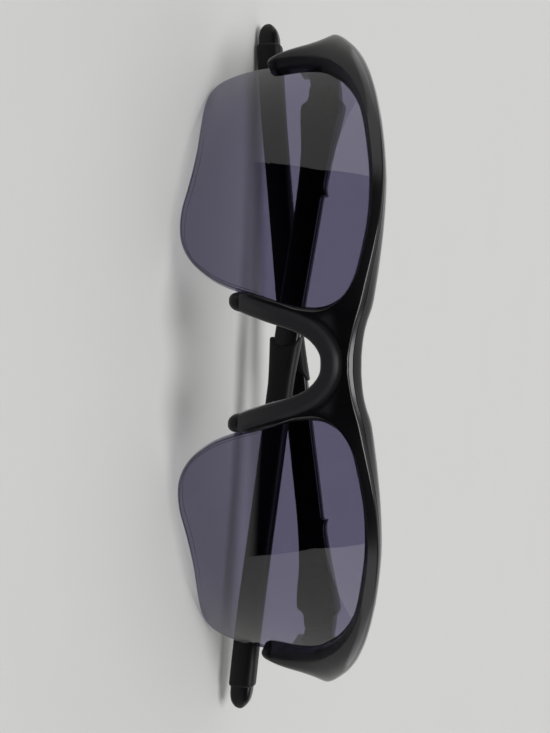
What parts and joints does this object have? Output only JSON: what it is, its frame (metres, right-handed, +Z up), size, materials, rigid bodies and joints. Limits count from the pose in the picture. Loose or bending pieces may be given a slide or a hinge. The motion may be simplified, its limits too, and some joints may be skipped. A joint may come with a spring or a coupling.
{
  "type": "half-frame sport sunglasses",
  "caption": "Wraparound half-frame sport sunglasses with smoke lenses, rubber nose pads and sleeved folding stems, shown folded.",
  "frame": {"origin": "centre of the bounding box's footprint, on the surface that the folded glasses stand on", "axes": "+X towards the wearer's left, along the front's width; -Y the way the lenses face; +Z up. The glasses' own up leans back from +Z by 7.08 degrees, because they stand on the lower corners of both lenses and the left stem's sleeve."},
  "size_m": [0.1456, 0.0497, 0.0417],
  "materials": {
    "nylon_front": "polished black nylon",
    "lens_smoke": "clear polished polycarbonate, smoke tint",
    "pad_rubber": "matte",
    "nylon_stem": "satin black nylon",
    "sleeve_rubber": "matte",
    "screw_steel": "plain steel",
    "insert_brass": "plain brass"
  },
  "bodies": {
    "front": {"front_frame": "nylon_front", "lens_right": "lens_smoke", "lens_left": "lens_smoke", "nose_pad_right": "pad_rubber", "nose_pad_left": "pad_rubber", "hinge_screw_right": "screw_steel", "hinge_screw_left": "screw_steel", "hinge_insert_right": "insert_brass", "hinge_insert_left": "insert_brass"},
    "stem_right": {"temple_right": "nylon_stem", "temple_sleeve_right": "sleeve_rubber"},
    "stem_left": {"temple_left": "nylon_stem", "temple_sleeve_left": "sleeve_rubber"}
  },
  "joints": [
    {"name": "temple_right_hinge", "type": "hinge", "parent": "front", "child": "stem_right", "pos_m": [-0.06003, 0.01429, 0.01871], "axis": [0, 0.1232, 0.9924], "range_deg": [0, 97.4]},
    {"name": "temple_left_hinge", "type": "hinge", "parent": "front", "child": "stem_left", "pos_m": [0.06003, 0.01429, 0.01871], "axis": [0, -0.1232, -0.9924], "range_deg": [0, 89.6]}
  ]
}
